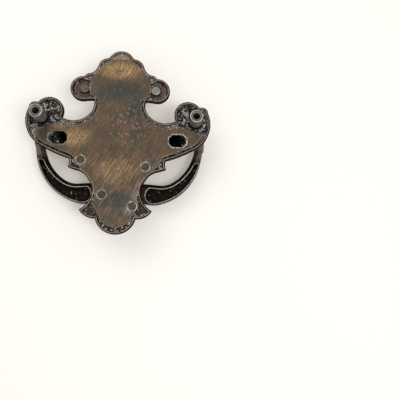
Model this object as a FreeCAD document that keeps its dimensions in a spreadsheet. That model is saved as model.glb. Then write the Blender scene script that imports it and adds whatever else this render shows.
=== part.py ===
"""Bail pull: one cast backplate with two hollow bosses and two tapped posts, and one cast bail.

Millimetres. +Z is up, +Y is the side that goes against the drawer front, -Y is the side that is
seen in use. The origin is on the back rim plane, midway between the two mounting posts.
"""
import FreeCAD
import Part
import math
import os
import Sketcher

Vector = FreeCAD.Vector

# Driving sizes: name, value and meaning
SIZES = [
    ("post_spacing", 76.2, "between the two mounting posts, a 3 inch boring"),
    ("post_diameter", 6.3, "mounting post"),
    ("post_height", 8.95, "post top above the back rim plane"),
    ("tap_diameter", 3.45, "tapped bore before its thread, number 8 screw"),
    ("tap_depth", 8.2, "tapped bore, from the post top"),
    ("flange_thickness", 2.6, "edge of the plate"),
    ("panel_inset", 1.9, "raised front panel, in from the edge"),
    ("panel_rise", 0.9, "raised front panel above the edge"),
    ("rim_width", 1.0, "rim that stands round the back"),
    ("groove_depth", 0.9, "back face inside the rim, below the rim"),
    ("lobe_floor", 0.7, "metal left under the cored lobes and arm ends at the edge"),
    ("ear_mark_x", 17.8, "round mark in each ear"),
    ("ear_mark_z", 15.55, "round mark in each ear"),
    ("ear_mark_radius", 2.35, "round mark in each ear"),
    ("ear_mark_drop", 0.15, "top of the ear mark below the rim plane"),
    ("mark_radius", 2.15, "round marks on the back land"),
    ("mark_depth", 0.2, "round marks on the back land, below it"),
    ("boss_from_post", 8.96, "boss axis, inward from the post axis"),
    ("boss_lift", 0.3, "boss axis above the pivot axis"),
    ("boss_foot_radius", 7.8, "bead at the foot of the boss"),
    ("boss_bead_height", 0.8, "bead above the front panel"),
    ("boss_neck_radius", 7.15, "neck above the bead"),
    ("boss_neck_height", 1.4, "neck above the front panel"),
    ("boss_side_radius", 6.35, "side of the boss at the pivot"),
    ("boss_brow_radius", 4.7, "shoulder of the boss"),
    ("boss_brow_rise", 3.4, "shoulder of the boss, in front of the pivot"),
    ("boss_face_radius", 2.6, "flat front of the boss"),
    ("boss_face_rise", 1.9, "flat front of the boss, in front of its shoulder"),
    ("window_drop", 0.65, "centre of the core window below the pivot axis"),
    ("window_width", 8.4, "core window"),
    ("window_height", 6.2, "core window"),
    ("window_corner", 1.7, "cut corners of the core window"),
    ("core_margin", 0.05, "hollow of the boss beyond the pintle"),
    ("core_draft", 3.0, "degrees of draft on the hollow of the boss"),
    ("pivot_y", -11.2, "pivot axis of the bail"),
    ("pivot_z", -9.6, "pivot axis of the bail"),
    ("pintle_diameter", 3.5, "inward pintle of the bail"),
    ("pivot_clearance", 0.05, "radial clearance of the pintle in the boss"),
    ("pintle_reach", 4.49, "pintle into the boss, from the boss's side"),
    ("hub_gap", 2.81, "between the boss's side and the hub of the bail"),
    ("hub_diameter", 7.2, "bail hub round the pivot"),
    ("hub_edge", 0.4, "chamfer on the hub and on the pintle's tip"),
    ("hub_proud", 0.3, "hub beyond the outer side of the arm"),
    ("arm_setback", 0.2, "inner side of the arm behind the inner face of the hub"),
    ("arm_width", 4.1, "arm of the bail at the pivot"),
    ("bail_back_rise", 2.7, "back face of the bail, behind the pivot axis"),
    ("bail_thickness", 5.0, "bail, back to front"),
    ("bail_ridge_width", 0.7, "flat between the two front bevels of the bail, at the pivot"),
    ("bail_bevel_width", 1.25, "bevel along the inner back edge of the bail"),
    ("bail_bevel_depth", 1.9, "bevel along the inner back edge of the bail"),
    ("lip_width", 0.85, "lips on both sides of the channel"),
    ("channel_depth", 3.0, "channel in the back of the bail"),
    ("channel_end_bow", 2.3, "round inner end of the channel, beside the middle of the grip"),
    ("crown_bow", 4.0, "height of the crown above its two cusps"),
    ("land_crown_bow", 1.6, "top edge of the back land"),
    ("outer_heading", -94.0, "degrees, direction of the bail's outer side as it leaves the pivot"),
    ("inner_heading", -94.8, "degrees, direction of the bail's inner side as it leaves the pivot"),
]

# Corners of the plate's right half, from the crown down: name, where x is measured from, x, z and
# the bow of the arc that leads on to the next corner (outward is positive)
PLATE_CORNERS = [
    ("crown_cusp", "middle", 6.15, 31.9, 1.25),
    ("shoulder_foot", "middle", 11.6, 27.35, -0.5),
    ("cove_foot", "middle", 14.8, 23.65, 0.6),
    ("ear_cusp", "middle", 18.05, 21.75, 6.78),
    ("ear_foot", "middle", 18.0, 9.2, -0.12),
    ("neck_corner", "middle", 12.8, 9.7, -1.7),
    ("notch_turn", "middle", 17.0, 0.35, -1.6),
    ("notch_corner", "post", -10.0, 0.2, 6.36),
    ("volute_cusp", "post", 1.75, 7.5, 1.5),
    ("arm_shoulder", "post", 6.3, 4.35, 1.17),
    ("arm_turn", "post", 6.4, -6.65, 1.35),
    ("arm_foot", "post", -2.1, -15.25, 0.4),
    ("arm_corner", "middle", 23.45, -20.5, -0.35),
    ("mid_ear_tip", "middle", 23.9, -24.8, 0.15),
    ("mid_ear_foot", "middle", 19.0, -26.3, -1.7),
    ("waist", "middle", 11.65, -35.5, -1.6),
    ("lower_ear_tip", "middle", 17.45, -45.55, 1.3),
    ("lower_ear_cusp", "middle", 9.7, -49.6, 7.65),
]
# Corners of the flat land on the back, right half, from the crown down
LAND_CORNERS = [
    ("land_shoulder", "middle", 6.6, 30.0, 0.4),
    ("land_cove", "middle", 12.0, 24.6, 0.0),
    ("land_ear_top", "middle", 15.1, 20.4, 0.0),
    ("land_ear_foot", "middle", 15.1, 12.4, 0.0),
    ("land_neck", "middle", 10.9, 10.2, -1.7),
    ("land_notch", "middle", 15.6, -2.2, -1.0),
    ("land_arm", "post", -7.7, -3.7, 0.5),
    ("land_arm_end", "post", 3.0, -7.2, 0.6),
    ("land_arm_low", "post", -1.9, -13.3, 0.0),
    ("land_mid_ear", "middle", 22.3, -18.9, 0.0),
    ("land_mid_foot", "middle", 19.4, -23.6, -0.6),
    ("land_waist", "middle", 11.1, -35.4, -1.0),
    ("land_ear_side", "middle", 11.3, -43.2, 0.0),
    ("land_cusp", "middle", 7.6, -49.0, 5.1),
]

# The cored pocket of the right ear, a round with one side cut off at the land
EAR_POCKET = [
    ("ear_pocket_top", "middle", 15.1, 19.05, 8.355),
    ("ear_pocket_foot", "middle", 15.1, 11.9, 0.0),
]

# The cored pocket of the right arm end, from the notch side round the volute and down the arm
ARM_POCKET = [
    ("arm_pocket_start", "post", -8.8, -2.4, 0.0),
    ("arm_pocket_inner", "post", -8.85, 1.0, 5.35),
    ("arm_pocket_cusp", "post", 1.1, 5.9, 0.2),
    ("arm_pocket_crest", "post", 4.2, 4.9, 0.9),
    ("arm_pocket_side", "post", 5.2, -5.6, 0.0),
    ("arm_pocket_land", "post", 3.4, -6.0, -0.4),
]

# The gate stub on the right post, which ends at the post's axis
LUG = [
    ("lug_inner", "post", -1.42, 2.52, 0.15),
    ("lug_tip", "post", 0.92, 4.5, 0.3),
    ("lug_outer", "post", 3.05, 0.63, 0.0),
    ("lug_root", "post", 0.0, 0.0, 0.0),
]

# Corners of the bail in front view, right half, each reached by an arc tangent to the one before:
# name, x from that side of the arm at the pivot, and z
BAIL_OUTER = [
    ("arm_outer", -1.45, -19.6),
    ("elbow_outer", -8.1, -32.65),
    ("grip_outer", -22.6, -41.2),
    ("dip_outer", -26.6, -41.35),
]
BAIL_INNER = [
    ("arm_inner", -2.4, -19.2),
    ("elbow_inner", -11.5, -29.7),
    ("grip_inner", -18.5, -31.25),
    ("dip_inner", -22.5, -30.9),
]

# Round marks on the land: one side each, because the real ones aren't in mirrored places
LAND_MARKS = [
    ("upper_mark_a", 17.9, -21.1),
    ("upper_mark_b", -13.7, -23.8),
    ("lower_mark_a", 6.9, -38.0),
    ("lower_mark_b", -7.9, -43.5),
]

TOLERANCE = 1e-4

size = {}
doc = FreeCAD.newDocument("bail_pull")
sheet = doc.addObject("Spreadsheet::Sheet", "Sizes")


def store(alias, value, note=""):
    """Put one plain number in the next row of the sheet and give it its alias."""
    row = str(len(size) + 1)
    sheet.set("A" + row, alias)
    sheet.set("B" + row, repr(value))
    sheet.set("C" + row, note)
    sheet.setAlias("B" + row, alias)
    size[alias] = value


for alias, value, note in SIZES:
    store(alias, value, note)
for name, _, x, z, bow in PLATE_CORNERS + LAND_CORNERS + EAR_POCKET + ARM_POCKET + LUG:
    store(name + "_x", x)
    store(name + "_z", z)
    store(name + "_bow", bow)
for name, x, z in BAIL_OUTER + BAIL_INNER + LAND_MARKS:
    store(name + "_x", x)
    store(name + "_z", z)
doc.recompute()


class Rule:
    """A number, and the expression on the sheet that gives it, if it has one."""

    def __init__(self, value, text=None):
        self.value = value
        self.text = text

    def joined(self, sign, other, value):
        bound = self.text is not None and other.text is not None
        return Rule(value, "(%s %s %s)" % (self.text, sign, other.text) if bound else None)

    def __add__(self, other):
        return self.joined("+", rule(other), self.value + rule(other).value)

    def __sub__(self, other):
        return self.joined("-", rule(other), self.value - rule(other).value)

    def __mul__(self, other):
        return self.joined("*", rule(other), self.value * rule(other).value)

    def __truediv__(self, other):
        return self.joined("/", rule(other), self.value / rule(other).value)

    def __neg__(self):
        return Rule(0.0, "0") - self


def rule(number):
    """A plain number as a rule, and a rule as it is."""
    return number if isinstance(number, Rule) else Rule(number, repr(number))


def cell(alias):
    """The rule that reads one cell of the sheet."""
    return Rule(size[alias], "Sizes." + alias)


class Corner:
    """A point of an outline: two rules."""

    def __init__(self, x, z):
        self.x = rule(x)
        self.z = rule(z)

    def point(self):
        return Vector(self.x.value, self.z.value, 0)

    def mirrored(self):
        return Corner(-self.x, self.z)


# Places that the pieces share
post_axis = cell("post_spacing") / 2
front_y = -(cell("flange_thickness") + cell("panel_rise"))
pivot_y = cell("pivot_y")
pivot_z = cell("pivot_z")
boss_x = post_axis - cell("boss_from_post")
boss_z = pivot_z + cell("boss_lift")
window_z = pivot_z - cell("window_drop")
core_depth = cell("pintle_diameter") / 2 + cell("core_margin") - pivot_y
pintle_tip = boss_x + cell("boss_side_radius") - cell("pintle_reach")
hub_face = boss_x + cell("boss_side_radius") + cell("hub_gap")
arm_inner_side = hub_face + cell("arm_setback")
arm_outer_side = arm_inner_side + cell("arm_width")
hub_end = arm_outer_side + cell("hub_proud")
bail_back = pivot_y + cell("bail_back_rise")
lobe_depth = cell("flange_thickness") - cell("lobe_floor")


def named(name, datum="middle"):
    """The corner that the sheet holds under this name, from the middle or from the right post."""
    reach = cell(name + "_x")
    return Corner(reach if datum == "middle" else post_axis + reach, cell(name + "_z"))


def arc(start, end, alias):
    """An edge between two corners, with its bow in the sheet, straight where the bow is nought."""
    bow = "Sizes." + alias
    across = (start.x - end.x).text
    down = (start.z - end.z).text
    radius_rule = "(%s^2 + %s^2) / (8 * abs(%s)) + abs(%s) / 2" % (across, down, bow, bow)
    return start, end, size[alias], radius_rule


def turned_bow(start, end, heading):
    """Bow of the arc from start to end that leaves along the heading, and its last heading."""
    chord = end.point() - start.point()
    angle = math.atan2(chord.y, chord.x)
    half_turn = (heading - angle + math.pi) % (2 * math.pi) - math.pi
    return chord.Length / 2 * math.tan(half_turn / 2), angle - half_turn


def edge_geometry(start, end, bow):
    """A line, or an arc that bows to the left of the way from start to end."""
    first = start.point()
    last = end.point()
    if abs(bow) < TOLERANCE:
        return Part.LineSegment(first, last)
    along = (last - first).normalize()
    middle = (first + last) * 0.5 + Vector(-along.y, along.x, 0) * bow
    if bow > 0:
        first, last = last, first
    return Part.ArcOfCircle(first, middle, last)


def draw(sketch, edges):
    """Add a closed outline, drawn clockwise, and tie each corner and radius to the sheet."""
    ends = []
    for start, end, bow, _ in edges:
        index = sketch.addGeometry(edge_geometry(start, end, bow), False)
        at_start = sketch.Geometry[index].StartPoint.distanceToPoint(start.point()) < TOLERANCE
        ends.append((index, 1, 2) if at_start else (index, 2, 1))
    constraints = []
    rules = []
    for number, (start, end, bow, radius_rule) in enumerate(edges):
        index, first, _ = ends[number]
        before, _, before_last = ends[number - 1]
        constraints.append(Sketcher.Constraint("Coincident", before, before_last, index, first))
        constraints.append(Sketcher.Constraint("DistanceX", index, first, start.x.value))
        constraints.append(Sketcher.Constraint("DistanceY", index, first, start.z.value))
        rules += [None, start.x.text, start.z.text]
        if radius_rule is not None and abs(bow) >= TOLERANCE:
            constraints.append(Sketcher.Constraint("Radius", index, sketch.Geometry[index].Radius))
            rules.append(radius_rule)
    held = len(sketch.Constraints)
    sketch.addConstraint(constraints)
    for number, text in enumerate(rules):
        if text is not None:
            sketch.setExpression("Constraints[%d]" % (held + number), text)


def flipped(edges):
    """The mirror image of some edges, in the order that keeps the outline clockwise."""
    return [(end.mirrored(), start.mirrored(), bow, radius) for start, end, bow, radius in reversed(edges)]


def chain(corners):
    """Edges from each named corner to the next."""
    points = [named(name, datum) for name, datum, _, _, _ in corners]
    return [arc(start, end, row[0] + "_bow") for start, end, row in zip(points, points[1:], corners)]


def symmetric(corners, top_alias):
    """A left and right outline from the corners of its right half, clockwise from the top."""
    right = chain(corners)
    top = right[0][0]
    foot = right[-1][1]
    across_foot = arc(foot, foot.mirrored(), corners[-1][0] + "_bow")
    return right + [across_foot] + flipped(right) + [arc(top.mirrored(), top, top_alias)]


def closed(corners):
    """A closed outline on the right side through all the named corners."""
    around = chain(corners)
    return around + [arc(around[-1][1], around[0][0], corners[-1][0] + "_bow")]


def draw_pair(sketch, edges):
    """Draw an outline of the right side and its mirror image on the left."""
    draw(sketch, edges)
    draw(sketch, flipped(edges))


def plane_of(body, role):
    """The origin plane of a body, such as XZ_Plane."""
    return [item for item in body.Origin.OriginFeatures if item.Role == role][0]


def new_sketch(body, name, role, **offsets):
    """A sketch on an origin plane, with its offsets from it held by rules."""
    sketch = body.newObject("Sketcher::SketchObject", name)
    sketch.AttachmentSupport = [(plane_of(body, role), "")]
    sketch.MapMode = "FlatFace"
    for axis, offset in offsets.items():
        sketch.setExpression("AttachmentOffset.Base." + axis, offset.text)
    return sketch


def add_circle(sketch, centre, radius):
    """A circle with its centre and radius held by rules."""
    index = sketch.addGeometry(Part.Circle(centre.point(), Vector(0, 0, 1), radius.value), False)
    for kind, place in (("DistanceX", centre.x), ("DistanceY", centre.z)):
        number = sketch.addConstraint(Sketcher.Constraint(kind, index, 3, place.value))
        sketch.setExpression("Constraints[%d]" % number, place.text)
    number = sketch.addConstraint(Sketcher.Constraint("Radius", index, radius.value))
    sketch.setExpression("Constraints[%d]" % number, radius.text)


def feature(body, kind, name, profile, reverse=False, **rules):
    """A profile feature of a body, with its sizes held by rules."""
    item = body.newObject("PartDesign::" + kind, name)
    item.Profile = profile
    item.Reversed = reverse
    for key, value in rules.items():
        item.setExpression(key, value.text)
    doc.recompute()
    return item


def turned(body, name, sketch, axis):
    """A full turn of a sketch about one of its own axes."""
    item = body.newObject("PartDesign::Revolution", name)
    item.Profile = sketch
    item.ReferenceAxis = (sketch, [axis])
    doc.recompute()
    return item


def mirror(body, name, originals):
    """Mirror features to the other side of the YZ plane."""
    item = body.newObject("PartDesign::Mirrored", name)
    item.Originals = originals
    item.MirrorPlane = (plane_of(body, "YZ_Plane"), [""])
    body.Tip = item
    doc.recompute()


def inset(body, name, source, distance):
    """The outline of a sketch, drawn in by a distance."""
    binder = body.newObject("PartDesign::SubShapeBinder", name)
    binder.Support = [(source, ("",))]
    binder.setExpression("Offset", (-distance).text)
    doc.recompute()
    return binder


def build_front(body, outline):
    """The plate's edge and the raised panel of its front."""
    feature(body, "Pad", "flange", outline, Length=cell("flange_thickness"))
    panel_edge = inset(body, "panel_edge", outline, cell("panel_inset"))
    feature(body, "Pad", "panel", panel_edge, True, Length=-front_y)


def build_back(body, outline):
    """The recess inside the rim, the flat land, the cored pockets and the round marks."""
    rim_edge = inset(body, "rim_edge", outline, cell("rim_width"))
    feature(body, "Pocket", "recess", rim_edge, False, Length=cell("groove_depth"))
    sketch = new_sketch(body, "land_outline", "XZ_Plane")
    draw(sketch, symmetric(LAND_CORNERS, "land_crown_bow"))
    feature(body, "Pad", "land", sketch, Length=cell("flange_thickness"))

    sketch = new_sketch(body, "pocket_outlines", "XZ_Plane")
    draw_pair(sketch, closed(EAR_POCKET))
    draw_pair(sketch, closed(ARM_POCKET))
    feature(body, "Pocket", "cored_pockets", sketch, True, Length=lobe_depth)

    sketch = new_sketch(body, "ear_mark_outlines", "XZ_Plane", z=cell("ear_mark_drop"))
    for centre in (named("ear_mark"), named("ear_mark").mirrored()):
        add_circle(sketch, centre, cell("ear_mark_radius"))
    feature(body, "Pad", "ear_marks", sketch, Length=cell("flange_thickness"))

    sketch = new_sketch(body, "land_mark_outlines", "XZ_Plane")
    for name, _, _ in LAND_MARKS:
        add_circle(sketch, named(name), cell("mark_radius"))
    feature(body, "Pocket", "land_marks", sketch, True, Length=cell("mark_depth"))


def straight(corners):
    """A closed outline of straight edges."""
    return [(corner, following, 0.0, None) for corner, following in zip(corners, corners[1:] + corners[:1])]


def boss_profile():
    """Half section of a boss: bead, neck, tapering side and flat front."""
    root_y = -cell("flange_thickness") / 2
    brow_y = pivot_y - cell("boss_brow_rise")
    face_y = brow_y - cell("boss_face_rise")
    return straight([
        Corner(0.0, root_y),
        Corner(cell("boss_foot_radius"), root_y),
        Corner(cell("boss_foot_radius"), front_y - cell("boss_bead_height")),
        Corner(cell("boss_neck_radius"), front_y - cell("boss_neck_height")),
        Corner(cell("boss_side_radius"), pivot_y),
        Corner(cell("boss_brow_radius"), brow_y),
        Corner(cell("boss_face_radius"), face_y),
        Corner(0.0, face_y),
    ])


def window_edges():
    """The right core window, a rectangle with its corners cut off."""
    reach_x = cell("window_width") / 2
    reach_z = cell("window_height") / 2
    cut = cell("window_corner")
    corners = []
    for turn_x, turn_z in ((1, 1), (1, -1), (-1, -1), (-1, 1)):
        flat = Corner(boss_x + (reach_x - cut) * turn_x, window_z + reach_z * turn_z)
        side = Corner(boss_x + reach_x * turn_x, window_z + (reach_z - cut) * turn_z)
        corners += [flat, side] if turn_x == turn_z else [side, flat]
    return straight(corners)


def build_bosses(body):
    """The two hollow bosses, their core windows and the pivot bores in their outer walls."""
    sketch = new_sketch(body, "boss_profile", "XY_Plane", x=boss_x, z=boss_z)
    draw(sketch, boss_profile())
    boss = turned(body, "boss", sketch, "V_Axis")
    mirror(body, "left_boss", [boss])

    sketch = new_sketch(body, "window_outlines", "XZ_Plane")
    draw_pair(sketch, window_edges())
    feature(body, "Pocket", "windows", sketch, True, Length=core_depth, TaperAngle=-cell("core_draft"))

    sketch = new_sketch(body, "pivot_bore_outline", "YZ_Plane", z=pintle_tip)
    add_circle(sketch, Corner(pivot_y, pivot_z), cell("pintle_diameter") / 2 + cell("pivot_clearance"))
    bore = feature(body, "Pocket", "pivot_bore", sketch, True, Length=hub_face - pintle_tip)
    mirror(body, "left_pivot_bore", [bore])


def build_posts(body):
    """The two mounting posts, the gate stub that is left on one, and their tapped bores."""
    axis = Corner(post_axis, 0.0)
    length = cell("post_height") + cell("flange_thickness")
    sketch = new_sketch(body, "post_outlines", "XZ_Plane", z=cell("flange_thickness"))
    for centre in (axis, axis.mirrored()):
        add_circle(sketch, centre, cell("post_diameter") / 2)
    feature(body, "Pad", "posts", sketch, True, Length=length)

    sketch = new_sketch(body, "lug_outline", "XZ_Plane", z=cell("flange_thickness"))
    draw(sketch, closed(LUG))
    feature(body, "Pad", "lug", sketch, True, Length=length)

    sketch = new_sketch(body, "bore_outlines", "XZ_Plane", z=-cell("post_height"))
    for centre in (axis, axis.mirrored()):
        add_circle(sketch, centre, cell("tap_diameter") / 2)
    feature(body, "Pocket", "tapped_bores", sketch, True, Length=cell("tap_depth"))


def build_backplate():
    """The casting: rim, land, cored pockets, moulded front, bosses and posts."""
    body = doc.addObject("PartDesign::Body", "Backplate")
    body.Label = "backplate"
    outline = new_sketch(body, "plate_outline", "XZ_Plane")
    draw(outline, symmetric(PLATE_CORNERS, "crown_bow"))
    build_front(body, outline)
    build_back(body, outline)
    build_posts(body)
    build_bosses(body)
    return body


class Side:
    """One side of the bail, from the pivot down to the middle of the grip, as tangent arcs."""

    def __init__(self, top_x, corners, heading_alias):
        self.corners = [Corner(top_x, pivot_z)]
        self.corners += [Corner(top_x + cell(name + "_x"), cell(name + "_z")) for name, _, _ in corners]
        self.headings = [math.radians(size[heading_alias])]
        self.bows = []
        for start, end in zip(self.corners, self.corners[1:]):
            bow, leaving = turned_bow(start, end, self.headings[-1])
            self.bows.append(bow)
            self.headings.append(leaving)

    def way_down(self):
        """The edges of the right half, from the pivot to the grip."""
        return [(start, end, bow, None)
                for start, end, bow in zip(self.corners, self.corners[1:], self.bows)]

    def middle(self):
        """The edge across the middle of the grip, from right to left."""
        foot = self.corners[-1]
        bow, _ = turned_bow(foot, foot.mirrored(), self.headings[-1])
        return [(foot, foot.mirrored(), bow, None)]

    def moved(self, distance):
        """The way down without its top edge, moved to the left by a distance."""
        below = list(zip(self.corners, self.headings))[1:]
        corners = [Corner(Rule(corner.x.value - distance * math.sin(heading)),
                          Rule(corner.z.value + distance * math.cos(heading)))
                   for corner, heading in below]
        return [(start, end, turned_bow(start, end, heading)[0], None)
                for start, end, (_, heading) in zip(corners, corners[1:], below)]


def reverse(edges):
    """The same edges, run the other way."""
    return [(end, start, -bow, radius) for start, end, bow, radius in reversed(edges)]


def bail_edges(outer, inner):
    """The bail in front view: down the right, across, up the left and back along the inside."""
    outside = outer.way_down() + outer.middle() + flipped(outer.way_down())
    inside = inner.way_down() + inner.middle() + flipped(inner.way_down())
    right_top = (inner.corners[0], outer.corners[0], 0.0, None)
    left_top = (outer.corners[0].mirrored(), inner.corners[0].mirrored(), 0.0, None)
    return [right_top] + outside + [left_top] + reverse(inside)


def channel_edges(outer, inner):
    """The channel on the right: inside both lips, with a round end beside the middle."""
    outside = outer.moved(-size["lip_width"])
    inside = reverse(inner.moved(size["bail_bevel_width"] + size["lip_width"]))
    top = (inside[-1][1], outside[0][0], 0.0, None)
    foot = (outside[-1][1], inside[0][0], size["channel_end_bow"], None)
    return [top] + outside + [foot] + inside


def pintle_profile():
    """Half section of one hub and its inward pintle, above the pivot axis."""
    edge = cell("hub_edge")
    pintle = cell("pintle_diameter") / 2
    hub = cell("hub_diameter") / 2
    return straight([
        Corner(pintle_tip, 0.0),
        Corner(pintle_tip, pintle - edge),
        Corner(pintle_tip + edge, pintle),
        Corner(hub_face, pintle),
        Corner(hub_face, hub - edge),
        Corner(hub_face + edge, hub),
        Corner(hub_end - edge, hub),
        Corner(hub_end, hub - edge),
        Corner(hub_end, 0.0),
    ])


def edges_at(shape, y, corners):
    """Names of the flat edges at this y whose ends all lie at the given corners, on either side."""
    names = []
    for number, edge in enumerate(shape.Edges):
        box = edge.BoundBox
        if abs(box.YMin - y) > TOLERANCE or abs(box.YMax - y) > TOLERANCE:
            continue
        ends = [Vector(abs(vertex.X), vertex.Z, 0) for vertex in edge.Vertexes]
        gaps = [min(place.distanceToPoint(corner.point()) for corner in corners) for place in ends]
        if max(gaps) < TOLERANCE:
            names.append("Edge%d" % (number + 1))
    return names


def chamfer(body, name, base, edges, width, depth):
    """A bevel on named edges of the last feature."""
    item = body.newObject("PartDesign::Chamfer", name)
    item.Base = (base, edges)
    item.ChamferType = "Two distances"
    item.setExpression("Size", width.text)
    item.setExpression("Size2", depth.text)
    doc.recompute()
    return item


def build_bail():
    """The casting: grip and arms with a hollow back, hubs and pintles."""
    body = doc.addObject("PartDesign::Body", "Bail")
    body.Label = "bail"
    outer = Side(arm_outer_side, BAIL_OUTER, "outer_heading")
    inner = Side(arm_inner_side, BAIL_INNER, "inner_heading")
    sketch = new_sketch(body, "bail_outline", "XZ_Plane", z=-bail_back)
    draw(sketch, bail_edges(outer, inner))
    grip = feature(body, "Pad", "grip", sketch, Length=cell("bail_thickness"))

    bail_front = bail_back.value - size["bail_thickness"]
    edges = [name for side in (outer, inner) for name in edges_at(grip.Shape, bail_front, side.corners)]
    front_bevel = (cell("arm_width") - cell("bail_ridge_width")) / 2
    bevels = chamfer(body, "front_bevels", grip, edges, front_bevel, front_bevel)
    edges = edges_at(bevels.Shape, bail_back.value, inner.corners)
    chamfer(body, "inner_bevel", bevels, edges, cell("bail_bevel_width"), cell("bail_bevel_depth"))

    sketch = new_sketch(body, "channel_outlines", "XZ_Plane", z=-bail_back)
    draw_pair(sketch, channel_edges(outer, inner))
    feature(body, "Pocket", "channels", sketch, True, Length=cell("channel_depth"))

    sketch = new_sketch(body, "pintle_profile", "XY_Plane", y=pivot_y, z=pivot_z)
    draw(sketch, pintle_profile())
    pintle = turned(body, "hub_and_pintle", sketch, "H_Axis")
    mirror(body, "left_hub_and_pintle", [pintle])
    return body


def check(bodies):
    """Stop before anything is written if an object failed or a shape isn't one sound solid."""
    for item in doc.Objects:
        if "Invalid" in item.State or "Error" in item.State:
            raise RuntimeError("object failed: " + item.Name)
    for body in bodies:
        shape = body.Shape
        if shape.isNull() or not shape.isValid() or len(shape.Solids) != 1:
            raise RuntimeError("shape isn't one sound solid: " + body.Label)


bodies = [build_backplate(), build_bail()]
doc.recompute()
check(bodies)
os.makedirs("parts", exist_ok=True)
for body in bodies:
    body.Shape.exportStep("parts/" + body.Label + ".step")
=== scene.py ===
"""Looks of a cast bail pull, seen from its back: rough castings, ground land, threads, stage."""
import math

import bpy
import bmesh
import numpy as np
from mathutils import Matrix, Vector, kdtree, noise


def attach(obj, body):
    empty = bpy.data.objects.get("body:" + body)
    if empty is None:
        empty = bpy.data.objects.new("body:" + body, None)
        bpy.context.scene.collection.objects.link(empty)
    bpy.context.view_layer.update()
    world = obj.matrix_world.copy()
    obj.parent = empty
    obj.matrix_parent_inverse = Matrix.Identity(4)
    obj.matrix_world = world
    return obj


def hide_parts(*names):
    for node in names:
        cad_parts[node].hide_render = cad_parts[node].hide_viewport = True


bl_info = {
    "name": "Bail Pull Looks",
    "version": (1, 0, 0),
    "blender": (4, 5, 0),
    "location": "View3D > Sidebar > Pull",
    "description": "Finishes the castings of a bail pull and sets its stage",
    "category": "Object",
}

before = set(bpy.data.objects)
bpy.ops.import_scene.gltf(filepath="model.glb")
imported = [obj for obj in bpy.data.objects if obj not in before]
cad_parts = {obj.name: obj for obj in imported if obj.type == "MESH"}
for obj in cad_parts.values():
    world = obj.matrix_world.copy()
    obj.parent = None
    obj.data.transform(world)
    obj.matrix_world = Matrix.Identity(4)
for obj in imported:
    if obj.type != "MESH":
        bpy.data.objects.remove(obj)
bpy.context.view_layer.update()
MM = 0.001

# Places on the back, in millimetres of the part's own frame
POST_X = 38.1
POST_TOP = 8.95
BORE_RADIUS = 1.725
PIVOT = (0.0, -11.2, -9.6)
WINDOW = (29.14, -10.25)
WINDOW_HALF = (4.2, 3.1)
WINDOW_CORNER = 1.7
EAR_MARK = (17.8, 15.4)
EAR_MARK_RADIUS = 2.35
LAND_MARKS = ((17.9, -21.1), (6.9, -38.0), (-13.7, -23.8), (-7.9, -43.5))
LAND_MARK_RADIUS = 2.15
RIM_WIDTH = 1.0
GROOVE_Y = -0.9
POCKET_Y = -1.9
LIP_Y = -8.5
CHANNEL_Y = -11.5
GRIND_ANGLE = 120.0

# Patches of the ground land: x, z, half width, half height, which colour of the finish, how strong
LAND_PATCHES = [
    (0.3, 25.6, 10.5, 4.8, "gold", 0.95),
    (1.2, 24.6, 2.4, 1.9, "copper", 0.6),
    (0.5, 14.6, 15.5, 5.4, "grey", 0.9),
    (-7.6, 7.0, 4.4, 7.5, "grey", 0.85),
    (1.4, 5.2, 3.4, 3.0, "copper", 0.5),
    (20.5, -9.8, 7.5, 5.5, "gold", 0.7),
    (11.5, -12.5, 3.6, 7.0, "copper", 0.7),
    (28.9, -4.6, 4.0, 1.6, "gold", 0.35),
    (36.6, -8.2, 3.0, 4.6, "dark", 0.5),
    (-21.5, -10.0, 5.5, 4.5, "copper", 0.7),
    (-10.5, -6.5, 4.5, 6.0, "grey", 0.4),
    (1.5, -26.0, 10.0, 6.5, "gold", 0.4),
    (0.0, -41.0, 10.5, 5.5, "grey", 0.8),
    (-8.6, -38.0, 2.2, 3.2, "pale", 0.55),
    (-5.6, -46.0, 2.6, 2.4, "pale", 0.5),
]


def srgb(red, green, blue):
    """A colour given in screen values from 0 to 255, as the linear colour that shaders use."""
    def linear(value):
        value /= 255
        return value / 12.92 if value <= 0.04045 else ((value + 0.055) / 1.055) ** 2.4
    return (linear(red), linear(green), linear(blue), 1.0)


EDGE_TINT = srgb(112, 104, 96)


class Value:
    """A number that varies over a surface. Sums and products of it add Math nodes."""

    def __init__(self, shader, socket):
        self.shader = shader
        self.socket = socket

    def math(self, operation, *others):
        return self.shader.add("ShaderNodeMath", {"operation": operation}, (self,) + others)

    def __add__(self, other):
        return self.math("ADD", other)

    __radd__ = __add__

    def __sub__(self, other):
        return self.math("SUBTRACT", other)

    def __rsub__(self, other):
        return self.shader.add("ShaderNodeMath", {"operation": "SUBTRACT"}, (other, self))

    def __mul__(self, other):
        return self.math("MULTIPLY", other)

    __rmul__ = __mul__

    def __truediv__(self, other):
        return self.math("DIVIDE", other)

    def __neg__(self):
        return self.math("MULTIPLY", -1.0)

    def __abs__(self):
        return self.math("ABSOLUTE")

    def power(self, exponent):
        return self.math("POWER", exponent)

    def lowest(self, other):
        return self.math("MINIMUM", other)

    def highest(self, other):
        return self.math("MAXIMUM", other)

    def step(self, low, high):
        """0 below low and 1 above high, with a smooth way between; it falls where low is above high."""
        settings = {"interpolation_type": "SMOOTHSTEP"}
        if low < high:
            return self.shader.add("ShaderNodeMapRange", settings, {"Value": self, 1: low, 2: high})
        inputs = {"Value": self, 1: high, 2: low, 3: 1.0, 4: 0.0}
        return self.shader.add("ShaderNodeMapRange", settings, inputs)


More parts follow.
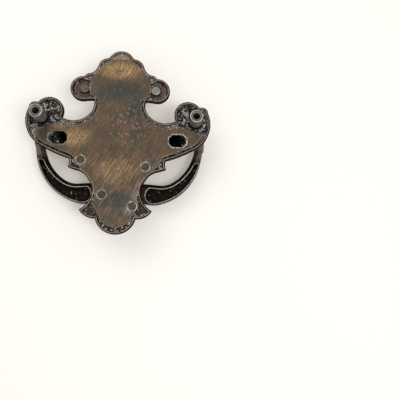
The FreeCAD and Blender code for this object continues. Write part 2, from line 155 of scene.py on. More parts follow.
class Shader:
    """One material: its nodes, the place on the piece in millimetres, and its noises."""

    def __init__(self, name):
        self.material = bpy.data.materials.new(name)
        self.material.use_nodes = True
        self.tree = self.material.node_tree
        self.tree.nodes.clear()

    def add(self, kind, settings=None, inputs=None, output=0):
        """Add any node: its settings first, then the values or links of its sockets."""
        node = self.tree.nodes.new(kind)
        for key, value in (settings or {}).items():
            if key == "stops":
                self.set_stops(node.color_ramp, value)
            else:
                setattr(node, key, value)
        pairs = inputs.items() if isinstance(inputs, dict) else enumerate(inputs or ())
        for key, value in pairs:
            if isinstance(value, Value):
                self.tree.links.new(value.socket, node.inputs[key])
            else:
                node.inputs[key].default_value = value
        return Value(self, node.outputs[output])

    def set_stops(self, ramp, stops):
        while len(ramp.elements) > 1:
            ramp.elements.remove(ramp.elements[-1])
        for number, (place, colour) in enumerate(stops):
            element = ramp.elements[0] if number == 0 else ramp.elements.new(place)
            element.position = place
            element.color = colour

    def place(self):
        """The place on the piece, in millimetres of the part's frame at rest."""
        coordinates = self.add("ShaderNodeTexCoord", output="Object")
        return self.scaled(coordinates, (1 / MM, 1 / MM, 1 / MM))

    def facing(self, axis):
        """How far the surface faces along one axis of the piece."""
        normal = self.add("ShaderNodeTexCoord", output="Normal")
        return self.part(normal, axis)

    def part(self, vector, axis):
        return self.add("ShaderNodeSeparateXYZ", inputs=(vector,), output=axis)

    def vector(self, x, y, z):
        return self.add("ShaderNodeCombineXYZ", inputs=(x, y, z))

    def scaled(self, vector, scale):
        return self.add("ShaderNodeVectorMath", {"operation": "MULTIPLY"}, (vector, scale))

    def toned(self, colour, tone):
        """A colour made lighter or darker by a factor that varies."""
        return self.add("ShaderNodeVectorMath", {"operation": "SCALE"}, {0: colour, "Scale": tone})

    def measured(self, name):
        """A distance in millimetres that was measured for each vertex."""
        return self.add("ShaderNodeAttribute", {"attribute_name": name}, output="Fac")

    def round_from(self, place, x, z):
        """Distance from an axis along Y, in millimetres."""
        across = self.part(place, 0) - x
        up = self.part(place, 2) - z
        return (across * across + up * up).power(0.5)

    def noise(self, vector, scale, detail=2.0, roughness=0.5):
        inputs = {"Vector": vector, "Scale": scale, "Detail": detail, "Roughness": roughness}
        return self.add("ShaderNodeTexNoise", inputs=inputs)

    def cells(self, vector, scale, output="Distance"):
        return self.add("ShaderNodeTexVoronoi", inputs={"Vector": vector, "Scale": scale}, output=output)

    def mix(self, factor, first, second):
        """One colour over another."""
        settings = {"data_type": "RGBA"}
        return self.add("ShaderNodeMix", settings, {0: factor, 6: first, 7: second}, output=2)

    def finish(self, colour, roughness, metallic, height, depth, **constants):
        """Join the surface: colour, roughness, metal and a height in millimetres of relief.

        The edge tint keeps the dark oxide dark where the surface turns away.
        """
        bump = self.add("ShaderNodeBump", inputs={"Strength": 1.0, "Distance": depth * MM, "Height": height})
        inputs = {"Base Color": colour, "Roughness": roughness, "Metallic": metallic, "Normal": bump,
                  "Specular Tint": EDGE_TINT}
        inputs.update(constants)
        surface = self.add("ShaderNodeBsdfPrincipled", inputs=inputs)
        self.add_output(surface)
        return self.material

    def add_output(self, surface):
        output = self.tree.nodes.new("ShaderNodeOutputMaterial")
        self.tree.links.new(surface.socket, output.inputs["Surface"])


class Finish(bpy.types.PropertyGroup):
    """Colours and sizes of the castings' finish."""

    voxel: bpy.props.FloatProperty(
        name="Voxel", description="Grain of the cast mesh", default=0.0003, unit="LENGTH")
    cast_relief: bpy.props.FloatProperty(
        name="Cast relief", description="Height of the lumps in the recess", default=0.00016, unit="LENGTH")
    brown: bpy.props.FloatVectorProperty(
        name="Brown", description="Ground land", default=srgb(88, 79, 66), size=4,
        subtype="COLOR")
    copper: bpy.props.FloatVectorProperty(
        name="Copper", description="Warm patches of the land", default=srgb(103, 84, 68), size=4,
        subtype="COLOR")
    gold: bpy.props.FloatVectorProperty(
        name="Gold", description="Bright patches of the land", default=srgb(170, 139, 98), size=4,
        subtype="COLOR")
    grey: bpy.props.FloatVectorProperty(
        name="Grey", description="Dull patches of the land", default=srgb(72, 71, 67), size=4,
        subtype="COLOR")
    pale: bpy.props.FloatVectorProperty(
        name="Pale", description="Polished spots of the land", default=srgb(122, 123, 117), size=4,
        subtype="COLOR")
    plum: bpy.props.FloatVectorProperty(
        name="Plum", description="Groove inside the rim", default=srgb(98, 85, 78), size=4,
        subtype="COLOR")
    earth: bpy.props.FloatVectorProperty(
        name="Earth", description="Groove of the lower half", default=srgb(54, 46, 40), size=4,
        subtype="COLOR")
    dark: bpy.props.FloatVectorProperty(
        name="Dark", description="Rough pockets", default=srgb(46, 40, 37), size=4,
        subtype="COLOR")
    shade: bpy.props.FloatVectorProperty(
        name="Shade", description="Darkened front", default=srgb(62, 52, 43), size=4,
        subtype="COLOR")
    sheen: bpy.props.FloatVectorProperty(
        name="Sheen", description="Rubbed front", default=srgb(92, 76, 58), size=4,
        subtype="COLOR")
    # Bare is worn metal on edges, pins and marks, and also the colour of painted glints on grains and painted
    # highlights on lips and post rings
    bare: bpy.props.FloatVectorProperty(
        name="Bare", description="Worn edges and high grains", default=srgb(196, 192, 182), size=4,
        subtype="COLOR")
    # Black is oxide in the cored pockets, and also painted shade on the side walls, in the bores and in creases
    black: bpy.props.FloatVectorProperty(
        name="Black", description="Oxide in the hollows", default=srgb(17, 15, 16), size=4,
        subtype="COLOR")


class Stage(bpy.types.PropertyGroup):
    """Camera, backdrop and light from all round."""

    camera_place: bpy.props.FloatVectorProperty(
        name="Camera", description="Where the camera stands", default=(-0.0278, 0.208, -0.06915),
        subtype="TRANSLATION", unit="LENGTH")
    camera_aim: bpy.props.FloatVectorProperty(
        name="Aim", description="What the camera looks at", default=(-0.04085, 0.0, -0.0396),
        subtype="TRANSLATION", unit="LENGTH")
    camera_roll: bpy.props.FloatProperty(
        name="Roll", description="Turn about the view", default=math.radians(0.88), unit="ROTATION")
    lens: bpy.props.FloatProperty(name="Lens", description="Millimetres", default=38.7, unit="CAMERA")
    backdrop_y: bpy.props.FloatProperty(
        name="Backdrop", description="Where the pale surface stands", default=-0.0167, unit="LENGTH")
    glow: bpy.props.FloatProperty(
        name="Glow", description="White of the pale surface that its shadows keep", default=0.2, subtype="FACTOR")
    world: bpy.props.FloatProperty(name="World", description="Light from all round", default=0.88)


def dense_copy(node, name, voxel, smoothing):
    """A close mesh of a casting, with its sharp edges eased as a casting's are."""
    piece = bpy.data.objects.new(name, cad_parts[node].data.copy())
    bpy.context.scene.collection.objects.link(piece)
    piece.data.materials.clear()
    mesh = bmesh.new()
    mesh.from_mesh(piece.data)
    bmesh.ops.remove_doubles(mesh, verts=mesh.verts, dist=1e-6)
    mesh.to_mesh(piece.data)
    mesh.free()
    remesh = piece.modifiers.new("remesh", "REMESH")
    remesh.mode = "VOXEL"
    remesh.voxel_size = voxel
    remesh.use_smooth_shade = True
    ease = piece.modifiers.new("ease", "SMOOTH")
    ease.factor = 0.5
    ease.iterations = smoothing
    bake_modifiers(piece)
    return piece


def bake_modifiers(piece):
    """Replace a piece's mesh by what its modifiers make of it."""
    bpy.context.view_layer.update()
    evaluated = piece.evaluated_get(bpy.context.evaluated_depsgraph_get())
    mesh = bpy.data.meshes.new_from_object(evaluated)
    piece.modifiers.clear()
    old = piece.data
    piece.data = mesh
    bpy.data.meshes.remove(old)


def mesh_arrays(mesh):
    """Places in millimetres and normals of a mesh's vertices."""
    count = len(mesh.vertices)
    places = np.empty(count * 3)
    normals = np.empty(count * 3)
    mesh.vertices.foreach_get("co", places)
    mesh.vertex_normals.foreach_get("vector", normals)
    return places.reshape(-1, 3) / MM, normals.reshape(-1, 3)


def ramp(values, low, high):
    """Smooth step of an array from 0 at low to 1 at high."""
    share = np.clip((values - low) / (high - low), 0, 1)
    return share * share * (3 - 2 * share)


def lumps(places, size, seed):
    """Rounded cast lumps of one size, between about -1 and 1."""
    return np.array([noise.noise(Vector(place) / size + Vector((seed, 0, 0))) for place in places])


def wall_tops(node, above, below_from, below_to):
    """Points along the edges where a wall of a CAD node starts at one level and ends between two others."""
    mesh = bmesh.new()
    mesh.from_mesh(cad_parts[node].data)
    bmesh.ops.remove_doubles(mesh, verts=mesh.verts, dist=1e-6)
    points = []
    for face in mesh.faces:
        depths = [vertex.co.y / MM for vertex in face.verts]
        if abs(max(depths) - above) > 0.02 or not below_from <= min(depths) <= below_to:
            continue
        for edge in face.edges:
            first, second = (vertex.co / MM for vertex in edge.verts)
            if abs(first.y - above) > 0.02 or abs(second.y - above) > 0.02:
                continue
            count = max(1, math.ceil((second - first).length / 0.15))
            points += [first.lerp(second, step / count) for step in range(count + 1)]
    mesh.free()
    return points


def measure(piece, name, points):
    """Store each vertex's distance from an outline, seen along Y, in millimetres."""
    tree = kdtree.KDTree(len(points))
    for number, point in enumerate(points):
        tree.insert((point.x, 0, point.z), number)
    tree.balance()
    places, _ = mesh_arrays(piece.data)
    distances = [tree.find((x, 0, z))[2] for x, _, z in places]
    piece.data.attributes.new(name, "FLOAT", "POINT").data.foreach_set("value", distances)
    return np.array(distances)


def displace(piece, heights):
    """Move the vertices out along their normals by heights in millimetres."""
    places, normals = mesh_arrays(piece.data)
    moved = (places + normals * heights[:, None]) * MM
    piece.data.vertices.foreach_set("co", moved.ravel())
    piece.data.update()


def thin_out(piece, limit, plain):
    """Bring a piece under a number of triangles, mostly where a share from 0 to 1 says it is plain."""
    triangles = sum(len(polygon.vertices) - 2 for polygon in piece.data.polygons)
    if triangles > limit:
        group = piece.vertex_groups.new(name="plain")
        for share in (0.25, 0.5, 0.75, 1.0):
            chosen = np.flatnonzero(plain > share - 0.125).tolist()
            group.add(chosen, share, "REPLACE")
        decimate = piece.modifiers.new("thin", "DECIMATE")
        decimate.ratio = limit / triangles
        decimate.vertex_group = group.name
        decimate.vertex_group_factor = 10.0
        bake_modifiers(piece)
    piece.data.polygons.foreach_set("use_smooth", [True] * len(piece.data.polygons))


def zone(shader, place, x, z, width, height, edge=0.6):
    """A soft oval on the back, 1 inside and 0 outside, with a ragged edge."""
    across = (shader.part(place, 0) - x) / width
    up = (shader.part(place, 2) - z) / height
    reach = (across * across + up * up).power(0.5)
    ragged = reach + (shader.noise(place, 0.35, 3.0, 0.6) - 0.5) * edge
    return ragged.step(1.3, 0.35)


def streaks(shader, place, angle, length, width, threshold):
    """Grinding scratches on the back: thin lines of noise along one direction."""
    turn = math.radians(angle)
    x = shader.part(place, 0)
    z = shader.part(place, 2)
    along = x * math.cos(turn) + z * math.sin(turn)
    across = z * math.cos(turn) - x * math.sin(turn)
    fine = shader.noise(shader.vector(along / length, across / width, 0.0), 1.0, 3.0, 0.6)
    return fine.step(threshold, threshold + 0.16)


def patchwork(shader, place, finish, grain):
    """The ground land: brown with gold, copper, grey and pale patches."""
    drift = shader.noise(place, 0.16, 3.0, 0.55)
    colour = shader.mix(drift.step(0.4, 0.62), finish.brown, finish.copper)
    for x, z, width, height, name, share in LAND_PATCHES:
        patch = zone(shader, place, x, z, width, height) * share
        if name == "gold":
            patch = patch * grain.step(0.3, 0.62)
        colour = shader.mix(patch, colour, getattr(finish, name))
    return colour


def window_reach(shader, place):
    """Distance out from the edge of either core window, in millimetres; negative inside."""
    across = abs(abs(shader.part(place, 0)) - WINDOW[0]) - WINDOW_HALF[0]
    up = abs(shader.part(place, 2) - WINDOW[1]) - WINDOW_HALF[1]
    corner = (across + up + WINDOW_CORNER) * math.sqrt(0.5)
    return across.highest(up).highest(corner)


def band(value, low, high, soft):
    """1 between two values and 0 outside, with soft ends."""
    return value.step(low - soft, low + soft) * value.step(high + soft, high - soft)


def grains(shader, place, scale, size):
    """Scattered round grains, about one in each cell that the surface cuts near its middle."""
    return shader.cells(place, scale).step(size, size * 0.45)


def backplate_material(finish):
    """Ground land with patches and scratches, dark rough pockets, worn rim, painted glints on grains, painted
    highlights on lips and posts, painted shade on edges, creases and hollows.
    """
    shader = Shader("cast_back")
    place = shader.place()
    x = shader.part(place, 0)
    y = shader.part(place, 1)
    z = shader.part(place, 2)
    towards = shader.facing(1)
    from_edge = shader.measured("from_edge")
    from_land = shader.measured("from_land")
    wear = shader.add("ShaderNodeNewGeometry", output="Pointiness")

    medium = shader.noise(place, 0.55, 3.0, 0.6)
    fine = shader.noise(place, 1.5, 3.0, 0.65)
    finest = shader.noise(place, 3.2, 2.0, 0.6)

    # Land
    lower = z.step(-14, -24)
    broad = streaks(shader, place, GRIND_ANGLE, 9.0, 0.85, 0.48)
    narrow = streaks(shader, place, GRIND_ANGLE + 4, 6.0, 0.4, 0.5)
    cross = streaks(shader, place, GRIND_ANGLE - 68, 7.0, 0.7, 0.52)
    marks = (broad + narrow) * (medium.step(0.35, 0.6) * 0.35 + lower * 0.35)
    marks = marks + cross * medium.step(0.6, 0.42) * 0.5
    land = patchwork(shader, place, finish, fine * 0.85 + broad * 0.13 + 0.06)
    land = shader.toned(land, 0.05 + fine * 1.4 + marks * 0.75)
    pitting = grains(shader, place, 0.62, 0.3) * medium.step(0.42, 0.55)
    land = shader.mix(pitting * 0.35, land, finish.dark)
    rough_area = zone(shader, place, -5.0, -3.0, 9.0, 13.0, 1.2)
    glints = grains(shader, shader.scaled(place, (-1, 1, 1)), 0.5, 0.42) * fine.step(0.35, 0.6)
    land = shader.mix(glints * (rough_area * 0.26 + 0.02), land, finish.bare)
    border = from_land.step(0.55, 0.2) * fine.step(0.4, 0.6)
    land = shader.mix(border * 0.35, land, finish.bare)
    for centre in LAND_MARKS:
        reach = shader.round_from(place, *centre)
        land = shader.mix(reach.step(LAND_MARK_RADIUS, LAND_MARK_RADIUS - 0.5) * 0.6, land, srgb(60, 55, 50))
        ring = band(reach + (fine - 0.5) * 0.9, LAND_MARK_RADIUS - 0.05, LAND_MARK_RADIUS + 0.4, 0.15)
        land = shader.mix(ring * (medium.step(0.42, 0.6) * 0.55 + 0.12), land, finish.bare)

    # Recess: groove inside the rim, cored pockets, discs in the ears
    groove = shader.mix(z.step(-15, -7), finish.earth, finish.plum)
    groove = shader.mix(z.step(21, 25), groove, srgb(126, 110, 94))
    pocket = shader.mix(fine.step(0.4, 0.6), finish.black, finish.dark)
    ear = abs(x).step(27, 25)
    pocket = shader.mix(ear * fine.step(0.25, 0.6), pocket, srgb(92, 78, 68))
    # Painted highlights: pale silvery blotches on the lumps of the cored pockets, gathered in patches and few in the
    # ears
    highlight_crowd = shader.noise(place, 0.22, 2.0, 0.5).step(0.42, 0.6)
    painted_highlight_blotch = medium.step(0.43, 0.57) * fine.step(0.4, 0.55) * (0.95 - ear * 0.85)
    pocket = shader.mix(painted_highlight_blotch * (highlight_crowd * 0.9 + 0.1), pocket, srgb(172, 172, 169))
    recess = shader.mix(y.step(GROOVE_Y - 0.2, POCKET_Y + 0.5), groove, pocket)
    recess = shader.toned(recess, 0.4 + fine * 1.2)
    left_disc = shader.round_from(place, EAR_MARK[0], EAR_MARK[1])
    right_disc = shader.round_from(place, -EAR_MARK[0], EAR_MARK[1])
    disc_reach = left_disc.lowest(right_disc)
    disc = disc_reach.step(EAR_MARK_RADIUS + 0.1, EAR_MARK_RADIUS - 0.1)
    disc_colour = shader.mix(x.step(-1, 1), finish.pale, finish.brown)
    disc_tone_and_edge_shade = 0.35 + fine.step(0.35, 0.65) * 0.55 + medium.step(0.4, 0.6) * 0.35
    # Painted shade: each ear disc darkens towards its edge
    disc_tone_and_edge_shade = disc_tone_and_edge_shade * disc_reach.step(EAR_MARK_RADIUS, EAR_MARK_RADIUS - 0.6)
    disc_colour = shader.toned(disc_colour, disc_tone_and_edge_shade + 0.3)
    sunk = y.step(-0.3, -0.55)
    mirrored = shader.scaled(place, (-1, 1, 1))
    # Painted glints: bright grains in the groove along the land and in the cored pockets
    painted_glint_beads = grains(shader, place, 0.62, 0.41).highest(grains(shader, mirrored, 0.7, 0.41))
    painted_glint_beads = painted_glint_beads * sunk * from_land.step(1.4, 0.5)
    painted_glint_grit = grains(shader, place, 0.62, 0.36) * y.step(-1.2, -1.6) * medium.step(0.46, 0.54) * (1.0 - ear)
    recess = shader.mix(painted_glint_beads.highest(painted_glint_grit) * 0.7, recess, finish.bare)

    colour = shader.mix(sunk, land, recess)
    front = y.step(-2.2, -2.8).highest(towards.step(-0.2, -0.6))
    patina = shader.mix(medium.step(0.3, 0.7), finish.shade, finish.sheen)
    patina = shader.toned(patina, 0.75 + fine * 0.5)
    colour = shader.mix(front, colour, patina)
    colour = shader.mix(disc * y.step(-0.6, -0.3), colour, disc_colour)

    # Rim: painted shade on its outer edge, a thin worn line, painted shade again towards the groove
    rim = from_edge.step(RIM_WIDTH + 0.1, RIM_WIDTH - 0.1) * y.step(-0.5, -0.3)
    worn = band(from_edge, 0.62, 0.9, 0.1) * (medium.step(0.3, 0.55) * 0.6 + 0.4)
    rim_colour = shader.mix(worn, srgb(30, 25, 23), shader.mix(fine, finish.plum, srgb(196, 176, 154)))
    colour = shader.mix(rim, colour, rim_colour)
    # Painted shade: the outer side walls are drawn near black, as a dark outline
    painted_shade_flank = towards.step(0.6, 0.3) * y.step(-3.2, -2.8) * y.step(0.2, 0.0)
    colour = shader.mix(painted_shade_flank * 0.85, colour, finish.black)

    # Core windows: a rough lip with a painted highlight, brighter towards its top; inside painted near black as
    # shade, with painted highlights in the outer half
    window = window_reach(shader, place)
    ragged = window + (fine - 0.5) * 2.2
    lip = band(ragged, 0.0, 0.5, 0.25) * y.step(-0.9, -0.3) * window.step(1.1, 0.8)
    # Painted highlight: the lip is brighter on the side where the light falls
    lit_side = (z - WINDOW[1] - x * 0.25).step(-3.5, 2.5)
    colour = shader.mix(lip * medium.step(0.3, 0.6) * (lit_side * 0.8 + 0.2), colour, finish.bare)
    # Painted shade: the inside of each window is near black, with a few painted highlights towards the outside
    hollow = window.step(0.3, 0.0) * y.step(-0.4, -0.7) * y.step(-13.4, -13.0)
    inside = shader.mix(fine.step(0.54, 0.6) * abs(x).step(29.8, 31.5), srgb(9, 9, 13), finish.bare)
    colour = shader.mix(hollow, colour, inside)

    # Posts: grey sides lightened by painted light, olive tops with painted highlight rings and a dark ring between,
    # painted shade in the bores
    post = y.step(0.25, 0.6)
    reach = shader.round_from(shader.vector(abs(x), y, z), POST_X, 0.0)
    # Painted light: the sides are lighter than the metal, to offset the dark recess they reflect
    side = shader.mix(medium.step(0.35, 0.7), srgb(140, 138, 135), srgb(168, 166, 162))
    top = shader.mix(medium.step(0.35, 0.65), srgb(72, 71, 61), srgb(94, 93, 80))
    # Painted highlights: bright rings at the outer edge and round the bore of each top
    top = shader.mix(band(reach, 2.75, 3.1, 0.15) * medium.step(0.3, 0.5), top, finish.bare)
    top = shader.mix(band(reach, 2.3, 2.55, 0.12) * 0.5, top, finish.dark)
    top = shader.mix(band(reach, 1.8, 2.0, 0.12) * 0.5, top, finish.bare)
    top = shader.mix(y.step(POST_TOP - 0.35, POST_TOP - 0.1), side, top)
    # Painted shade: the mouth of each bore is drawn black
    bore = reach.step(BORE_RADIUS + 0.05, BORE_RADIUS - 0.05) * y.step(POST_TOP - 0.02, POST_TOP - 0.3)
    top = shader.mix(bore, top, finish.black)
    colour = shader.mix(post, colour, top)

    # The outermost edge keeps its painted shade: worn edges there are mostly left out
    outermost = from_edge.step(0.5, 0.3) * y.step(0.4, 0.2)
    edge = wear.step(0.52, 0.58) * finest.step(0.35, 0.6) * (1.0 - outermost * 0.85)
    colour = shader.mix(edge * (0.55 - front * 0.1), colour, shader.mix(front, finish.bare, finish.gold))
    # Painted shade: creases are drawn near black and less metallic
    painted_shade_crease = wear.step(0.485, 0.45)
    colour = shader.mix(painted_shade_crease * 0.75, colour, finish.black)

    smooth = 1.0 - front * 0.75
    height = (fine * (0.35 + sunk * 0.65) + marks * 0.3 - pitting * 0.5 + finest * 0.25) * smooth
    roughness = 0.5 - marks * 0.06 - painted_glint_grit * 0.15 + (medium - 0.5) * 0.2 + hollow * 0.1 - front * 0.08
    metallic = 0.85 - painted_shade_crease * 0.4 - hollow * 0.5
    return shader.finish(colour, roughness, metallic, height, 0.14)


def bail_material(finish):
    """Near-black casting with a rough hollow; painted highlight lines on its lips, painted glints in the channel,
    painted light on the arms' backs, painted shade on flanks, bevel and creases.
    """
    shader = Shader("dark_bail")
    place = shader.place()
    x = shader.part(place, 0)
    y = shader.part(place, 1)
    z = shader.part(place, 2)
    towards = shader.facing(1)
    wear = shader.add("ShaderNodeNewGeometry", output="Pointiness")
    medium = shader.noise(place, 0.6, 3.0, 0.6)
    fine = shader.noise(place, 1.7, 3.0, 0.65)
    arm = z.step(-19.5, -16.0)
    colour = shader.mix(medium.step(0.35, 0.7), srgb(34, 29, 25), srgb(62, 52, 45))
    # Painted light: the back of each arm is lightened to offset the plate's shadow on it
    arm_back_painted_light = arm * (towards.step(-0.1, 0.5) * 0.85 + 0.15)
    colour = shader.mix(arm_back_painted_light * (fine * 0.5 + 0.5), colour, srgb(132, 121, 108))
    # Painted shade: the outer side walls are drawn near black
    painted_shade_flank = towards.step(0.8, 0.4) * y.step(-11.5, -10.5) * (1.0 - arm)
    colour = shader.mix(painted_shade_flank * 0.85, colour, finish.black)
    lip = y.step(-8.85, -8.65) * towards.step(0.4, 0.8)
    lip_colour = shader.mix(fine.step(0.35, 0.65), srgb(30, 26, 23), srgb(64, 57, 51))
    from_channel = shader.measured("from_channel")
    # Painted highlight: a bright line along the lip's edge by the channel, strongest towards the bottom of the bail
    painted_lip_highlight = from_channel.step(0.48, 0.22) * (fine.step(0.35, 0.55) * 0.4 + medium.step(0.35, 0.55) * 0.6)
    painted_lip_highlight = painted_lip_highlight * (z.step(-19.0, -25.0) * 0.65 + 0.35)
    lip_colour = shader.mix(painted_lip_highlight, lip_colour, srgb(202, 195, 184))
    colour = shader.mix(lip * (1.0 - arm * 0.6), colour, lip_colour)
    # Painted shade: the inner bevel, turned partly away, is drawn near black
    painted_shade_bevel = band(towards, 0.35, 0.85, 0.08) * y.step(-10.6, -10.3)
    colour = shader.mix(painted_shade_bevel * (1.0 - arm * 0.7), colour, srgb(24, 20, 18))
    deep = y.step(-10.0, -10.8) * y.step(-12.6, -12.2) * towards.step(-0.2, 0.2)
    floor = shader.mix(medium.step(0.3, 0.7), srgb(11, 9, 8), srgb(32, 27, 23))
    colour = shader.mix(deep, colour, floor)
    wall = band(towards, -0.15, 0.6, 0.1) * band(y, -11.3, -9.2, 0.2) * from_channel.step(0.45, 0.25)
    # Painted glints: bright grains on the channel's wall and floor
    painted_glint_grit = wall * fine.step(0.46, 0.56) * (abs(x).step(16.0, 13.0) * 0.6 + 0.4)
    painted_glint_grit = painted_glint_grit + grains(shader, place, 0.7, 0.3) * deep * medium.step(0.5, 0.6) * 0.6
    colour = shader.mix(painted_glint_grit * 0.7 * (1.0 - arm), colour, finish.bare)
    pintle = abs(x).step(34.2, 33.6)
    pintle = pintle * abs(z - PIVOT[2]).step(2.6, 2.2) * y.step(-13.2, -13.0)
    colour = shader.mix(pintle * fine.step(0.4, 0.6), colour, finish.bare)
    back = towards.step(0.3, 0.7)
    outer_corner = from_channel.step(0.6, 0.8) * y.step(-10.0, -9.4)
    edge = wear.step(0.525, 0.57) * (fine.step(0.3, 0.55) * 0.6 + 0.4)
    edge = edge * (1.0 - painted_shade_flank.highest(outer_corner) * 0.85)
    colour = shader.mix(edge * (back * 0.55 + 0.35), colour, shader.mix(back, srgb(112, 97, 78), srgb(196, 189, 174)))
    # Painted shade: creases are drawn near black
    colour = shader.mix(wear.step(0.485, 0.45) * 0.8, colour, finish.black)
    roughness = 0.42 + (medium - 0.5) * 0.3 - painted_glint_grit * 0.12
    height = fine + medium * 0.6
    return shader.finish(colour, roughness, 0.8, height, 0.14)


def thread_material():
    """Dark cut thread."""
    shader = Shader("cut_thread")
    place = shader.place()
    medium = shader.noise(place, 1.2, 3.0, 0.6)
    colour = shader.mix(medium.step(0.3, 0.7), srgb(30, 28, 26), srgb(70, 66, 60))
    return shader.finish(colour, 0.4 + medium * 0.2, 0.9, medium, 0.05)


class PULL_OT_backplate(bpy.types.Operator):
    """Make the backplate's cast surface and its patchy finish"""

    bl_idname = "pull.backplate"
    bl_label = "Backplate"

    def execute(self, context):
        finish = context.scene.pull_finish
        piece = dense_copy("backplate", "backplate_casting", finish.voxel, 2)
        outline = wall_tops("backplate", 0.0, -2.7, -2.3)
        land_edge = wall_tops("backplate", 0.0, POCKET_Y - 0.05, GROOVE_Y + 0.05)
        places, normals = mesh_arrays(piece.data)
        y = places[:, 1]
        back = ramp(normals[:, 1], 0.2, 0.7) * ramp(-y, 3.0, 2.4)
        groove = back * ramp(-y, 0.3, 0.7)
        pocket = back * ramp(-y, 1.2, 1.7)
        across = np.abs(np.abs(places[:, 0]) - WINDOW[0]) - WINDOW_HALF[0]
        up = np.abs(places[:, 2] - WINDOW[1]) - WINDOW_HALF[1]
        window = np.maximum(np.maximum(across, up), (across + up + WINDOW_CORNER) * math.sqrt(0.5))
        lip = back * ramp(-y, 0.5, 0.2) * ramp(window, 1.0, 0.4)
        front = ramp(-y, 16.3, 15.5) * ramp(-y, 2.0, 3.0) * 0.12
        clear_of_pivot = ramp(np.hypot(y - PIVOT[1], places[:, 2] - PIVOT[2]), 2.4, 4.0)
        small = lumps(places, 0.8, 3)
        heights = small * (groove * 0.5 + pocket * 0.7 + lip * 0.5 + front * clear_of_pivot)
        wall = ramp(np.abs(normals[:, 1]), 0.9, 0.5) * ramp(y, -2.2, -1.9) * ramp(-y, 0.05, 0.4)
        outer = np.minimum(measure(piece, "outer_edge", outline), 1.0)
        wall *= ramp(outer, 0.6, 1.0) * ramp(window, 0.2, 0.8)
        heights += lumps(places, 1.9, 11) * (pocket * 0.9 + wall * 1.1) - lip * 0.4
        displace(piece, heights * finish.cast_relief / MM)
        thin_out(piece, 195000, ramp(-y, 1.9, 3.5))
        piece.data.attributes.remove(piece.data.attributes["outer_edge"])
        measure(piece, "from_edge", outline)
        measure(piece, "from_land", land_edge)
        piece.data.materials.append(backplate_material(finish))
        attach(piece, "plate")
        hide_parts("backplate")
        return {"FINISHED"}


class PULL_OT_bail(bpy.types.Operator):
    """Make the bail's cast surface and its dark finish"""

    bl_idname = "pull.bail"
    bl_label = "Bail"

    def execute(self, context):
        finish = context.scene.pull_finish
        piece = dense_copy("bail", "bail_casting", finish.voxel * 0.8, 2)
        places, normals = mesh_arrays(piece.data)
        hollow = ramp(normals[:, 1], 0.4, 0.8) * ramp(-places[:, 1], 9.6, 10.4)
        clear_of_pivot = ramp(np.hypot(places[:, 1] - PIVOT[1], places[:, 2] - PIVOT[2]), 2.4, 4.5)
        heights = lumps(places, 0.9, 5) * (hollow + 0.1) * clear_of_pivot
        displace(piece, heights * finish.cast_relief / MM)
        thin_out(piece, 150000, ramp(-places[:, 1], 11.5, 13.0))
        measure(piece, "from_channel", wall_tops("bail", LIP_Y, CHANNEL_Y - 0.05, CHANNEL_Y + 0.05))
        piece.data.materials.append(bail_material(finish))
        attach(piece, "bail")
        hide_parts("bail")
        return {"FINISHED"}


class PULL_OT_threads(bpy.types.Operator):
    """Cut the screw threads into the bores of both posts"""

    bl_idname = "pull.threads"
    bl_label = "Threads"

    def execute(self, context):
        material = thread_material()
        for name, side in (("thread_right", 1), ("thread_left", -1)):
            piece = thread(name, side * POST_X)
            piece.data.materials.append(material)
            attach(piece, "plate")
        return {"FINISHED"}


def thread(name, x):
    """The ridge of a screw thread on the wall of one bore."""
    pitch = 0.79
    steps = 28
    turns = 8.5
    top = POST_TOP - 0.5
    outer = BORE_RADIUS + 0.1
    inner = BORE_RADIUS - 0.32
    mesh = bmesh.new()
    rows = []
    for step in range(int(turns * steps) + 1):
        angle = 2 * math.pi * step / steps
        y = top - pitch * step / steps
        row = []
        for radius, drop in ((outer, -0.34), (inner, -0.05), (inner, 0.05), (outer, 0.34)):
            place = (x + radius * math.cos(angle), y + drop, radius * math.sin(angle))
            row.append(mesh.verts.new(Vector(place) * MM))
        rows.append(row)
    for first, second in zip(rows, rows[1:]):
        for number in range(4):
            following = (number + 1) % 4
            mesh.faces.new((first[number], first[following], second[following], second[number]))
    mesh.faces.new(rows[0])
    mesh.faces.new(rows[-1][::-1])
    bmesh.ops.recalc_face_normals(mesh, faces=mesh.faces)
    data = bpy.data.meshes.new(name)
    mesh.to_mesh(data)
    mesh.free()
    data.polygons.foreach_set("use_smooth", [True] * len(data.polygons))
    piece = bpy.data.objects.new(name, data)
    bpy.context.scene.collection.objects.link(piece)
    return piece


class PULL_OT_stage(bpy.types.Operator):
    """Set the camera, the lamps, the world and the pale surface behind the pull"""

    bl_idname = "pull.stage"
    bl_label = "Stage"

    def execute(self, context):
        stage = context.scene.pull_stage
        make_backdrop(stage)
        make_world(stage)
        make_lamp("key", (-0.2, 0.42, -0.14), 0.16, 0.6)
        make_lamp("fill", (0.25, 0.4, 0.35), 0.4, 0.9)
        make_lamp("front", (0.15, -0.5, 0.3), 0.4, 2.4)
        camera = bpy.data.objects.new("camera", bpy.data.cameras.new("camera"))
        context.scene.collection.objects.link(camera)
        camera.data.lens = stage.lens
        camera.data.clip_start = 0.01
        place = Vector(stage.camera_place)
        look = (Vector(stage.camera_aim) - place).to_track_quat("-Z", "Y").to_matrix().to_4x4()
        roll = Matrix.Rotation(stage.camera_roll, 4, "Z")
        camera.matrix_world = Matrix.Translation(place) @ look @ roll
        context.scene.camera = camera
        context.scene.view_settings.view_transform = "Standard"
        return {"FINISHED"}


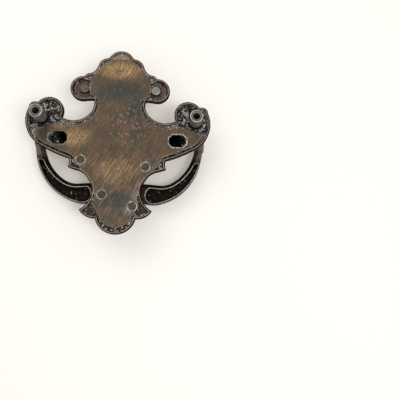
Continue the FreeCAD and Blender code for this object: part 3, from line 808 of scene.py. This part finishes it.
def make_backdrop(stage):
    """The pale surface that the pull lies against. It shows only from its own side."""
    reach = 0.6
    mesh = bpy.data.meshes.new("backdrop")
    corners = [(reach, stage.backdrop_y, -reach), (-reach, stage.backdrop_y, -reach),
               (-reach, stage.backdrop_y, reach), (reach, stage.backdrop_y, reach)]
    mesh.from_pydata(corners, [], [(0, 1, 2, 3)])
    backdrop = bpy.data.objects.new("backdrop", mesh)
    bpy.context.scene.collection.objects.link(backdrop)
    shader = Shader("pale_surface")
    behind = shader.add("ShaderNodeNewGeometry", output="Backfacing")
    pale = shader.add("ShaderNodeBsdfDiffuse", inputs={"Color": srgb(255, 254, 250)})
    clear = shader.add("ShaderNodeBsdfTransparent")
    seen = shader.add("ShaderNodeLightPath", output="Is Camera Ray")
    glow = shader.add("ShaderNodeEmission", inputs={"Color": srgb(255, 243, 224), "Strength": 1.0})
    lit = shader.add("ShaderNodeMixShader", inputs={0: stage.glow, 1: pale, 2: glow})
    shader.add_output(shader.add("ShaderNodeMixShader", inputs=(seen * (1.0 - behind), clear, lit)))
    mesh.materials.append(shader.material)


def make_world(stage):
    """Even pale light, and a white ground for the camera."""
    world = bpy.data.worlds.new("pale_room")
    world.use_nodes = True
    world.node_tree.nodes.clear()
    tree = world.node_tree
    path = tree.nodes.new("ShaderNodeLightPath")
    seen = tree.nodes.new("ShaderNodeBackground")
    seen.inputs["Color"].default_value = (1.0, 1.0, 1.0, 1.0)
    seen.inputs["Strength"].default_value = 1.0
    light = tree.nodes.new("ShaderNodeBackground")
    light.inputs["Strength"].default_value = stage.world
    mix = tree.nodes.new("ShaderNodeMixShader")
    output = tree.nodes.new("ShaderNodeOutputWorld")
    shown = tree.nodes.new("ShaderNodeMath")
    shown.operation = "MAXIMUM"
    tree.links.new(path.outputs["Is Camera Ray"], shown.inputs[0])
    tree.links.new(path.outputs["Is Glossy Ray"], shown.inputs[1])
    tree.links.new(shown.outputs[0], mix.inputs[0])
    tree.links.new(light.outputs[0], mix.inputs[1])
    tree.links.new(seen.outputs[0], mix.inputs[2])
    tree.links.new(mix.outputs[0], output.inputs["Surface"])
    bpy.context.scene.world = world


def make_lamp(name, place, size, power):
    """A soft square lamp that faces the pull."""
    lamp = bpy.data.lights.new(name, "AREA")
    lamp.size = size
    lamp.energy = power
    holder = bpy.data.objects.new(name, lamp)
    bpy.context.scene.collection.objects.link(holder)
    holder.location = place
    holder.rotation_mode = "QUATERNION"
    holder.rotation_quaternion = (-Vector(place)).to_track_quat("-Z", "Y")


class PULL_PT_panel(bpy.types.Panel):
    """The pull's operators and settings"""

    bl_idname = "PULL_PT_panel"
    bl_label = "Bail Pull"
    bl_space_type = "VIEW_3D"
    bl_region_type = "UI"
    bl_category = "Pull"

    def draw(self, context):
        for operator in OPERATORS:
            self.layout.operator(operator.bl_idname)
        for group in (context.scene.pull_finish, context.scene.pull_stage):
            for name in group.bl_rna.properties.keys():
                if name not in ("rna_type", "name"):
                    self.layout.prop(group, name)


OPERATORS = (PULL_OT_stage, PULL_OT_backplate, PULL_OT_bail, PULL_OT_threads)
GROUPS = (Finish, Stage)


def register():
    """Add the classes and their settings to Blender."""
    for item in GROUPS + OPERATORS + (PULL_PT_panel,):
        bpy.utils.register_class(item)
    bpy.types.Scene.pull_finish = bpy.props.PointerProperty(type=Finish)
    bpy.types.Scene.pull_stage = bpy.props.PointerProperty(type=Stage)


def unregister():
    """Take the classes and their settings out again."""
    del bpy.types.Scene.pull_stage
    del bpy.types.Scene.pull_finish
    for item in reversed(GROUPS + OPERATORS + (PULL_PT_panel,)):
        bpy.utils.unregister_class(item)


def main():
    """Dress the pull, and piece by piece."""
    register()
    bpy.ops.pull.stage()
    bpy.ops.pull.backplate()
    bpy.ops.pull.bail()
    bpy.ops.pull.threads()


if __name__ == "__main__":
    main()
